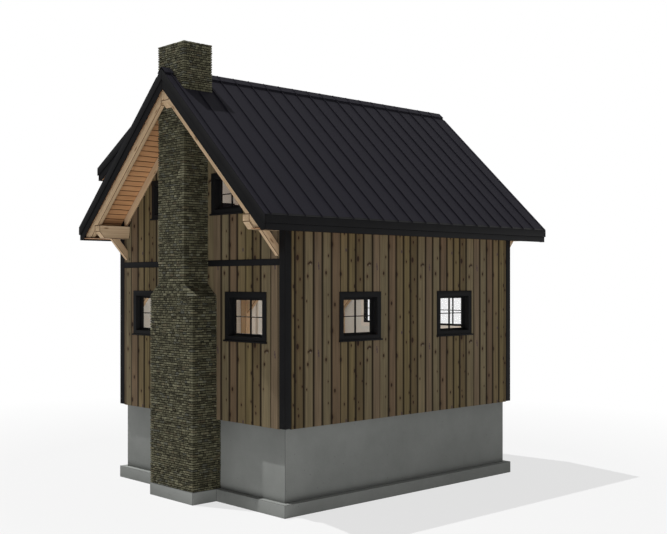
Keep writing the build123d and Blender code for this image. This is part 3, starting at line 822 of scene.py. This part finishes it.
def sideBoards(wall, low, high, foot, top, holes, start, breaks=()):
    # each run of a board is its profile from edge to edge, carried upright from its foot to its top
    pile = Pile()
    put, _ = onWall(wall)
    ownLeft, ownRight = [ownEdge(*rim) for rim in boards["rims"]]
    cutEdge = [(0, 0, 1), (0, boards["face"], 1)]
    least = ownLeft[-1][0] + ownRight[-1][0] + boards["narrow"]
    runs = boardRuns(low, high, foot, top, holes, start, breaks)
    for a0, a1, z, end, atLeft, atRight, origin, number in runs:
        first = ownLeft if atLeft and a1 - a0 > least else cutEdge
        second = ownRight if atRight and a1 - a0 > least else cutEdge
        profile = [(a0 + a, out, clear) for a, out, clear in first]
        profile += [(a1 - a, out, clear) for a, out, clear in second[::-1]]
        across, out, clear = np.array(profile).T
        bottom = np.maximum(z, [foot(a) for a in across])
        summit = np.minimum(end, [top(a) for a in across])
        points = np.concatenate([put(across, out, bottom), put(across, out, summit)])
        heights = np.concatenate([bottom, summit])
        grain = np.stack([np.tile(across - origin, 2), heights, np.full(len(heights), float(number))], 1)
        # rim: how clear each point is of the edge's stain and painted shade
        pile.add(points, prismFaces(len(across)), grain=grain, rim=np.tile(clear, 2)[:, None])
    pile.make(wall + "Boards", "siding")


def windowHoles(wall):
    # the casings of a wall's windows as holes in its boards, without the ends of their sills
    along, turn = 1 - walls[wall][0], onWall(wall)[1]
    found = []
    for low, high in islands(wall + "_window_frames"):
        a0, a1 = sorted((turn * low[along], turn * high[along]))
        found.append((a0 + boards["sill"], a1 - boards["sill"], low[2], high[2]))
    return found


def level(value):
    return lambda place: value


def gableTop(a):
    return min(roofZ(a, rafterDrop), plateFoot if abs(a) > plateInside - 1e-6 else endless)


lap = boards["lap"]
boardFoot = level(wallFoot - boards["drip"])
band = (-endless, endless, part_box("belly_bands")[0].z, reach("belly_bands", 2))
stacks = ((shaftHalf, endless), (baseHalf, shoulderFoot - lap))
chimneyHoles = [(lap - half, half - lap, -endless, top) for half, top in stacks]
doorLow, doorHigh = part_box("door_frame")
doorHoles = [(-doorHigh.y, -doorLow.y, doorLow.z, doorHigh.z)]
edge = trimSide - cabin["cornerBoard"]
for wall, extra in (("front", chimneyHoles), ("back", [])):
    holes, breaks = windowHoles(wall) + extra + [band], (-plateInside, 0.0, plateInside)
    sideBoards(wall, -edge, edge, boardFoot, gableTop, holes, boards["gableStart"], breaks)
edge = trimEnd - cabin["cornerBoard"]
for wall, extra in (("right", []), ("left", doorHoles)):
    holes = windowHoles(wall) + extra
    sideBoards(wall, -edge, edge, boardFoot, level(eaveLow.z), holes, boards["sideStart"])


# Dormer boards: the front stands on the left slope, and the cheeks run from the slope to the dormer's soffit
dormerLining = 0.012
cheekInside = (dormerDrop + dormerLining + lap) / (1 - dormerSlope)


def cheekFoot(a):
    return float(roofZ(a)) + boards["cheekGap"]


def cheekTop(a):
    return float(dormerZ(a, dormerDrop)) - dormerLining


frontFoot, frontTop = level(cheekFoot(dormerOut)), level(cheekTop(dormerOut + lap))
sideBoards("dormer", -dormerEnd, dormerEnd, frontFoot, frontTop, windowHoles("dormer"), boards["sideStart"])
for wall, low, high in (("nearCheek", -dormerOut, -cheekInside), ("farCheek", cheekInside, dormerOut)):
    sideBoards(wall, low, high, cheekFoot, cheekTop, [], boards["gableStart"])
print("siding ready")


# Standing seams: ribs up each slope, with a folded head a little wider than its stem.
# For each slope: which side it is on, its surface's height, and its tilt
slopes = {
    "right": (1, roofZ, math.radians(45)),
    "left": (-1, roofZ, math.radians(45)),
    "dormer": (-1, dormerZ, dormerTilt),
}
seams = {
    "pitch": 0.4121,
    "first": 0.1405,
    "count": 20,
    "height": 0.026,
    "stem": 0.007,
    "head": 0.013,
    "fold": 0.010,
    "start": 0.10,
    "clear": 0.03,
    "rakeStart": 0.15,
    "rakeWidth": 0.055,
    "rakeHeight": 0.010,
}
seamPlaces = -roofEnd + seams["first"] + seams["pitch"] * np.arange(seams["count"])
stem, head = seams["stem"] / 2, seams["head"] / 2
neck, crown = seams["height"] - seams["fold"], seams["height"]
ribProfile = [(-stem, 0), (stem, 0), (stem, neck), (head, neck), (head, crown), (-head, crown), (-head, neck)]
ribProfile = np.array(ribProfile + [(-stem, neck)])


def slopeRun(slope, profile, y, x0, x1):
    # a profile, along y and out from the roof, carried straight down the slope from x0 to x1
    side, surface, tilt = slopes[slope]
    along, out = profile.T
    outX, outZ = math.sin(tilt) * out, math.cos(tilt) * out
    ends = [np.stack([side * (x + outX), y + along, surface(x) + outZ], 1) for x in (x0, x1)]
    return np.concatenate(ends), prismFaces(len(profile))


def slopeRibs(slope, x1, end, start):
    # ribs are cut plumb at x1, and the rake trim, a low flat strip along each edge, is cut square
    pile, lean = Pile(), math.sin(slopes[slope][2])
    for y in seamPlaces:
        if start(y) < x1:
            pile.add(*slopeRun(slope, ribProfile, y, start(y), x1 - lean * ribProfile[:, 1]))
    high = seams["rakeHeight"]
    for way in (-1, 1):
        y0, y1 = sorted((way * end, way * (end - seams["rakeWidth"])))
        strip = np.array([(y0, 0), (y1, 0), (y1, high), (y0, high)])
        pile.add(*slopeRun(slope, strip, 0, seams["rakeStart"], x1 - lean * high))
    pile.make(slope + "Ribs", "roof_metal")


def mainStart(y):
    # a rib starts under the hood, or clear of the chimney
    clear = seams["clear"]
    return shaftHalf + clear if chimneyLow.y - clear < y < chimneyHigh.y + clear else seams["start"]


def leftStart(y):
    # under the dormer the main slope shows only below its wall
    if abs(y) > dormerRoofEnd:
        return mainStart(y)
    return max(mainStart(y), dormerOut + seams["clear"] if abs(y) < dormerEnd else cheekInside)


def dormerStart(y):
    return mainStart(y) if abs(y) < dormerRoofEnd - seams["rakeWidth"] else endless


slopeRibs("right", eaveSide, roofEnd, mainStart)
slopeRibs("left", eaveSide, roofEnd, leftStart)
slopeRibs("dormer", dormerEave, dormerRoofEnd, dormerStart)


# Ridge hood: a folded cap lifted clear of the ribs, closed below its edges, with a low seam over each rib
hood = {
    "half": 0.12,
    "lift": 0.042,
    "sheet": 0.004,
    "crease": 1.4,  # sheets at the fold
    "set": 0.016,  # the closing strips stand in from the edges
    "sink": 0.002,
    "clear": 0.012,
    "seam": (0.014, 0.013),
    "seamFoot": 0.99,  # as a share of the half width
    "seamHead": (0.012, 0.008),  # beside the ridge, and below the hood's top
    "seamClear": 0.02,
}
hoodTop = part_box("ridge_cap")[1].z


def hoodEdge(surface):
    return float(surface(hood["half"])) + hood["lift"]


def hoodRun(pile, y0, y1, leftSurface):
    # the folded sheet, then on each side the closing strip and the seams
    w, sheet, sink = hood["half"], hood["sheet"], hood["sink"]
    headX, headDrop = hood["seamHead"]
    outline = [(-w, hoodEdge(leftSurface)), (0, hoodTop), (w, hoodEdge(roofZ)), (w, hoodEdge(roofZ) - sheet)]
    outline += [(0, hoodTop - hood["crease"] * sheet), (-w, hoodEdge(leftSurface) - sheet)]
    pile.add([(x, y, z) for y in (y0, y1) for x, z in outline], prismFaces(6))
    half, high = hood["seam"][0] / 2, hood["seam"][1]
    section = ((-half, -sink), (half, -sink), (half, high), (-half, high))
    for side, surface in ((-1, leftSurface), (1, roofZ)):
        low, edge = float(surface(w)), hoodEdge(surface)
        top = edge + (hoodTop - edge) * (hood["set"] / w) - sheet
        x0, x1 = sorted((side * (w - hood["set"]), side * (w - hood["set"] - sheet)))
        pile.add(boxPoints((x0, y0 + sink, low), (x1, y1 - sink, top)), prismFaces(4))
        ends = [(side * w * hood["seamFoot"], edge), (side * headX, hoodTop - headDrop)]
        for y in seamPlaces:
            if y0 + hood["seamClear"] < y < y1 - hood["seamClear"]:
                pile.add([(x, y + a, z + b) for x, z in ends for a, b in section], prismFaces(4))


hoodPile = Pile()
hoodRun(hoodPile, -roofEnd, chimneyLow.y - hood["clear"], roofZ)
hoodRun(hoodPile, chimneyHigh.y + hood["clear"], dormerRoofEnd, dormerZ)
hoodRun(hoodPile, dormerRoofEnd, roofEnd, roofZ)
hoodPile.make("ridgeHood", "roof_metal", node="ridge_cap")
print("roof seams ready")


# Soffit boards with slightly wavy edges, laid along the cabin under each slope
soffit = {
    "width": 0.1310,
    "gap": 0.005,
    "chamfer": 0.005,
    "rim": 2.2,  # chamfers from the edge to the clear face
    "wave": 0.0028,
    "sines": ((5.1, 0.5), (11.7, 0.3), (23, 0.2)),
    "step": 0.10,
    "least": 0.03,
    "short": 0.012,
    "dormerShort": 0.045,
    "thin": 0.002,
    "eave": 0.014,
    "eaveBoards": 3,
    "roomFrom": 0.9,  # over the dormer's room the left boards leave off
    "roomWall": 0.1,
    "seeds": {"slope": 40, "eave": 90},
    "eaveNumber": 60,
}


def waves(along, seed):
    # a sum of three slow sines with their own starts
    starts = np.random.default_rng(seed).uniform(0, 6.28, 3)
    return sum(np.sin(along * rate + start) * size for start, (rate, size) in zip(starts, soffit["sines"]))


def boardSheet(pile, t0, t1, y0, y1, put, thickness, number, seed):
    # a board's profile at each station along y: edges wave by the same sum for the neighbour that they meet
    stations = np.linspace(y0, y1, max(2, int((y1 - y0) / soffit["step"]) + 1))
    left = t0 + waves(stations, seed) * soffit["wave"] + soffit["gap"] / 2
    right = t1 + waves(stations, seed + 1) * soffit["wave"] - soffit["gap"] / 2
    chamfer, rim = soffit["chamfer"], soffit["rim"] * soffit["chamfer"]
    profile = [(left, thickness, 0), (left, chamfer, 0), (left + chamfer, 0, 0.4), (left + rim, 0, 1)]
    profile += [(right - rim, 0, 1), (right - chamfer, 0, 0.4), (right, chamfer, 0), (right, thickness, 0)]
    rows = np.stack([put(t, stations, np.full_like(stations, up)) for t, up, _ in profile], 1)
    numbers = np.full_like(stations, number)
    grain = np.stack([np.stack([t - t0, stations, numbers], -1) for t, _, _ in profile], 1)
    rims = np.tile([clear for _, _, clear in profile], len(stations))[:, None]
    corners = len(profile)
    faces = []
    for i in range(corners):
        j = (i + 1) % corners
        row = corners * np.arange(len(stations) - 1)
        faces += np.stack([row + i, row + j, row + corners + j, row + corners + i], 1).tolist()
    faces += [list(range(corners))[::-1], list(range(corners * (len(stations) - 1), corners * len(stations)))]
    pile.add(rows.reshape(-1, 3), faces, grain=grain.reshape(-1, 3), rim=rims)


def slopeBoards(name, slope, drop, x0, x1, runs, thickness, node=None):
    # boards measured down the slope from the ridge; up is the way from a board's lower face into the roof
    side, surface, tilt = slopes[slope]
    cosine, sine = math.cos(tilt), math.sin(tilt)

    def put(t, y, up):
        x = t * cosine + up * sine
        return np.stack([side * x, y, surface(t * cosine, drop) + up * cosine], -1)

    pile = Pile()
    lines = np.arange(x0 / cosine, x1 / cosine, soffit["width"]).tolist() + [x1 / cosine]
    for number, (t0, t1) in enumerate(pairs(lines)):
        if t1 - t0 > soffit["least"]:
            for y0, y1 in runs((t0 + t1) / 2 * cosine):
                boardSheet(pile, t0, t1, y0, y1, put, thickness, number, number + soffit["seeds"]["slope"])
    pile.make(name, "soffit_boards", node=node)


wholeRoof = [(-panelEnd, panelEnd)]


def leftRuns(x):
    # the boards stop at the dormer's room
    room = dormerEnd - soffit["roomWall"]
    return [(-panelEnd, -room), (room, panelEnd)] if soffit["roomFrom"] < x < plateInside else wholeRoof


deckEdge, deckThick = reach("right_roof_decking", 0) - soffit["short"], cabin["decking"] - soffit["thin"]
for side, runs in (("right", level(wholeRoof)), ("left", leftRuns)):
    node = side + "_roof_decking"
    slopeBoards(side + "DeckBoards", side, soffitDrop, 0.0, deckEdge, runs, deckThick, node)
dormerPanelEnd = reach("dormer_roof_panel", 1)
runs, drop = level([(-dormerPanelEnd, dormerPanelEnd)]), dormerDrop + dormerLining / math.cos(dormerTilt)
x0, x1 = cheekInside - lap, dormerEave - soffit["dormerShort"]
slopeBoards("dormerSoffitBoards", "dormer", drop, x0, x1, runs, dormerLining)


def underEave(side):
    return lambda t, y, up: np.stack([side * t, y, eaveLow.z + up], -1)


eavePile = Pile()
lines = np.linspace(wallSide, eaveHigh.x, soffit["eaveBoards"] + 1)
for side in (-1, 1):
    for number, (t0, t1) in enumerate(pairs(lines)):
        board, seed = number + soffit["eaveNumber"] * side, number + soffit["seeds"]["eave"]
        boardSheet(eavePile, t0, t1, *wholeRoof[0], underEave(side), soffit["eave"], board, seed)
eavePile.make("eaveBoards", "soffit_boards", node="eave_soffits")
print("soffits ready")


# Ledge stone: level courses of split stones, with long and short corner stones taking turns
stones = {
    "course": (0.034, 0.056),
    "length": (0.040, 0.135),
    "quoin": (0.13, 0.075),
    "depth": 0.035,
    "gap": 0.013,
    "sink": 0.008,
    "jitter": 0.0025,
    "ease": 0.0035,
    "tall": 0.050,
    "split": 0.3,
    "splitAt": (0.38, 0.62),
    "bed": 0.019,  # the bed's faces stand this far in, and its top this far down
    "crown": 0.012,
    "skin": 0.01,  # points this near an outer face lie on it
    "flue": 0.3,  # points nearer the middle are the flue's
    "closed": 7.1,  # above this height the back is clad too
}


def halfWidth(z):
    return float(np.interp(z, [shoulderFoot, shoulderTop], [baseHalf, shaftHalf]))


def cuts(low, high, sizes, random):
    # joints at random distances, stretched a little to end at both limits
    steps = [random.uniform(*sizes)]
    while sum(steps) < high - low - sizes[0] / 2:
        steps.append(random.uniform(*sizes))
    return low + np.cumsum([0] + steps) * (high - low) / sum(steps)


def inward(side, deep):
    # an x limit that deep inside the chimney's side
    return lambda z: side * (halfWidth(z) - deep)


def stoneCorners(west, east, near, far, z0, z1):
    # a stone's eight corners; west and east are x limits as functions of height
    gap = stones["gap"] / 2
    corners = [[[(x(z), y, z) for z in (z0 + gap, z1 - gap)] for y in (near, far)] for x in (west, east)]
    return np.array(corners, float)


def courseStones(z0, z1, number, random, closed):
    # the stones of one course: quoins, then the front, the sides and, above the roof, the back
    inner, gap, found = min(halfWidth(z0), halfWidth(z1)), stones["gap"] / 2, []
    ends = [(chimneyLow.y, 1)] + ([(chimneyHigh.y, -1)] if closed else [])
    span = {}
    for side in (-1, 1):
        for face, way in ends:
            turn = (number + (side > 0) + (way > 0)) % 2
            across, along = stones["quoin"][turn], stones["quoin"][1 - turn]
            sinkX, sinkY = random.uniform(0, stones["sink"], 2)
            limits = (inward(side, sinkX), level(side * (inner - across + gap)))
            near, far = sorted((face + way * sinkY, face + way * (along - gap)))
            found.append(stoneCorners(*limits[::-side], near, far, z0, z1))
            span[side, way] = (across, along)
    for face, way in ends:
        first, last = -inner + span[-1, way][0], inner - span[1, way][0]
        for x0, x1 in pairs(cuts(first, last, stones["length"], random)):
            for low, high in layers(z0, z1, random):
                sink = random.uniform(0, stones["sink"])
                near, far = sorted((face + way * sink, face + way * stones["depth"]))
                found.append(stoneCorners(level(x0 + gap), level(x1 - gap), near, far, low, high))
    for side in (-1, 1):
        first, last = chimneyLow.y + span[side, 1][1], chimneyHigh.y - (span[side, -1][1] if closed else 0)
        for y0, y1 in pairs(cuts(first, last, stones["length"], random)):
            for low, high in layers(z0, z1, random):
                limits = (inward(side, random.uniform(0, stones["sink"])), inward(side, stones["depth"]))
                found.append(stoneCorners(*limits[::-side], y0 + gap, y1 - gap, low, high))
    return found


def layers(z0, z1, random):
    # a tall course often holds two thin stones, one on the other
    if z1 - z0 > stones["tall"] and random.uniform() < stones["split"]:
        middle = z0 + (z1 - z0) * random.uniform(*stones["splitAt"])
        return [(z0, middle), (middle, z1)]
    return [(z0, z1)]


def easedBlocks(corners, ease):
    # each corner becomes three points, one on each of its faces, moved in along that face's two edges
    ways = []
    for axis in (1, 2, 3):
        way = np.flip(corners, axis) - corners
        ways.append(way / np.linalg.norm(way, axis=-1, keepdims=True) * ease)
    moved = [corners + ways[(k + 1) % 3] + ways[(k + 2) % 3] for k in range(3)]
    return np.concatenate([m.reshape(len(corners), 8, 3) for m in moved], 1)


def easedFaces():
    # six faces, twelve edges and eight corners, by corner numbers 4x + 2y + z in each of three sets
    faces = []
    for axis in range(3):
        own, other = 8 * axis, 8 * ((axis + 1) % 3)
        a, b, c = ((4, 2, 1)[(axis + k) % 3] for k in range(3))
        for first in (0, a):
            faces.append([own + first + step for step in (0, b, b + c, c)])
            for near in (first, first + b):
                faces.append([own + near, other + near, other + near + c, own + near + c])
    return faces + [[number, number + 8, number + 16] for number in range(8)]


def stonePiece(name, low, high, seed):
    random = np.random.default_rng(seed)
    found = []
    for number, (z0, z1) in enumerate(pairs(cuts(low, high, stones["course"], random))):
        found += courseStones(z0, z1, number, random, z0 > stones["closed"])
    corners = np.array(found)
    corners += random.uniform(-stones["jitter"], stones["jitter"], corners.shape) * np.array([1, 1, 0.7])
    lowest = (-baseHalf, chimneyLow.y, chimneyLow.z)
    corners = np.clip(corners, lowest, (baseHalf, chimneyHigh.y, chimneyHigh.z))
    tone = random.uniform(0, 1, (len(corners), 1, 3)) * np.array([1, 1, 60])
    pile = Pile()
    pile.add(easedBlocks(corners, stones["ease"]), easedFaces(), tone=tone)
    pile.make(name, "ledge_stone")


stonePiece("baseStones", chimneyLow.z, shoulderFoot, 3)
stonePiece("shaftStones", shoulderFoot, chimneyHigh.z, 4)
# the bed: the chimney's own mesh, its outer faces set back behind the stones
bedMesh = nodes["chimney"].data.copy()
for vert in bedMesh.vertices:
    x, y, z = vert.co
    if abs(x) > stones["flue"]:
        x -= math.copysign(stones["bed"], x)
    if y < chimneyLow.y + stones["skin"]:
        y += stones["bed"]
    if y > chimneyHigh.y - stones["skin"]:
        y -= stones["bed"]
    if z > chimneyHigh.z - stones["skin"]:
        z -= stones["crown"]
    vert.co = (x, y, z)
bedMesh.materials.clear()
bedMesh.materials.append(finishes["chimneyCore"])
show("chimneyBed", bedMesh, "ledge_stone", "chimney")
print("stones ready")


# Glazing bars, and white casings round each opening on the inner faces of the walls
glazing = {"bar": (0.017, 0.034), "lap": 0.004, "low": 0.3, "sash": 0.045, "casing": (0.09, 0.020)}
bars, casings = Pile(), Pile()
for side in sides:
    axis, away, _ = walls[side]
    run = 1 - axis
    wide, thick = glazing["casing"]
    inside = plateInside if side == "dormer" else (frameSide, frameEnd)[axis]
    near, far = sorted((away * inside, away * (inside - thick)))
    for low, high in islands(side + "_glass"):
        middle = (low + high) / 2
        for along, other in ((run, 2), (2, run)):
            if along == 2 or high[2] - low[2] >= glazing["low"]:
                half = np.zeros(3)
                half[along] = (high[along] - low[along]) / 2 + glazing["lap"]
                half[[other, axis]] = np.array(glazing["bar"]) / 2
                bars.add(boxPoints(middle - half, middle + half), prismFaces(4))
        a0, a1 = low[run] - glazing["sash"], high[run] + glazing["sash"]
        z0, z1 = low[2] - glazing["sash"], high[2] + glazing["sash"]
        first, last = a0 - wide, a1 + wide
        strips = [(first, last, z1, z1 + wide), (first, last, z0 - wide, z0)]
        strips += [(first, a0, z0, z1), (a1, last, z0, z1)]
        for start, stop, foot, top in strips:
            box = np.array([(near, near, foot), (far, far, top)])
            box[:, run] = start, stop
            casings.add(boxPoints(*box), prismFaces(4))
bars.make("glazingBars", "black_trim", "black_frame")
casings.make("innerCasings", "whitePaint", "black_frame")
print("windows ready")


# Door: upright planks on the leaf and a lever handle on a plate
door = {"plank": 0.1285, "count": 7, "thick": 0.010, "gap": 0.003, "margin": 0.002}
leafLow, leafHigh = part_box("door_leaf")
planks, face = Pile(), leafLow.x - door["thick"]
for number in range(door["count"]):
    y0 = leafLow.y + number * door["plank"] + door["gap"] / 2
    y1 = y0 + door["plank"] - door["gap"]
    low, high = (face, y0, leafLow.z + door["margin"]), (leafLow.x, y1, leafHigh.z - door["margin"])
    planks.add(boxPoints(low, high), prismFaces(4))
planks.make("doorPlanks", "black_trim", "black_frame")


def tube(path, radius, sides=14):
    # a circle of that radius at each point of the path, square to the way the path goes there
    path = np.array(path, float)
    circle = [(radius * math.cos(t), radius * math.sin(t), 0) for t in np.arange(sides) * math.tau / sides]
    rings = []
    for point, way in zip(path, np.gradient(path, axis=0)):
        turn = Vector(way).to_track_quat("Z", "Y").to_matrix()
        rings.append(point + np.array([turn @ Vector(spoke) for spoke in circle]))
    faces = []
    for first in range(0, (len(path) - 1) * sides, sides):
        for i in range(sides):
            j = (i + 1) % sides
            faces.append([first + i, first + j, first + sides + j, first + sides + i])
    faces += [list(range(sides))[::-1], list(range((len(path) - 1) * sides, len(path) * sides))]
    return np.concatenate(rings), faces


handle = {
    "y": 0.385,
    "height": 1.02,
    "plate": (0.0225, 0.10),
    "thick": 0.004,
    "reach": 0.022,
    "radius": 0.009,
    "lever": 0.11,
    "bend": 0.012,
    "root": 0.002,
}
lever = Pile()
y, z, turn = handle["y"], leafLow.z + handle["height"], handle["bend"]
half, tall = handle["plate"]
lever.add(boxPoints((face - handle["thick"], y - half, z - tall), (face, y + half, z + tall)), prismFaces(4))
out = face - handle["thick"] - handle["reach"]
path = [(face - handle["root"], y, z)]
for t in np.linspace(0, math.pi / 2, 6):
    path.append((out + turn * (1 - math.sin(t)), y - turn * (1 - math.cos(t)), z))
lever.add(*tube(path + [(out, y - handle["lever"], z)], handle["radius"]))
lever.make("doorHandle", "black_trim", "black_frame")
print("door ready")
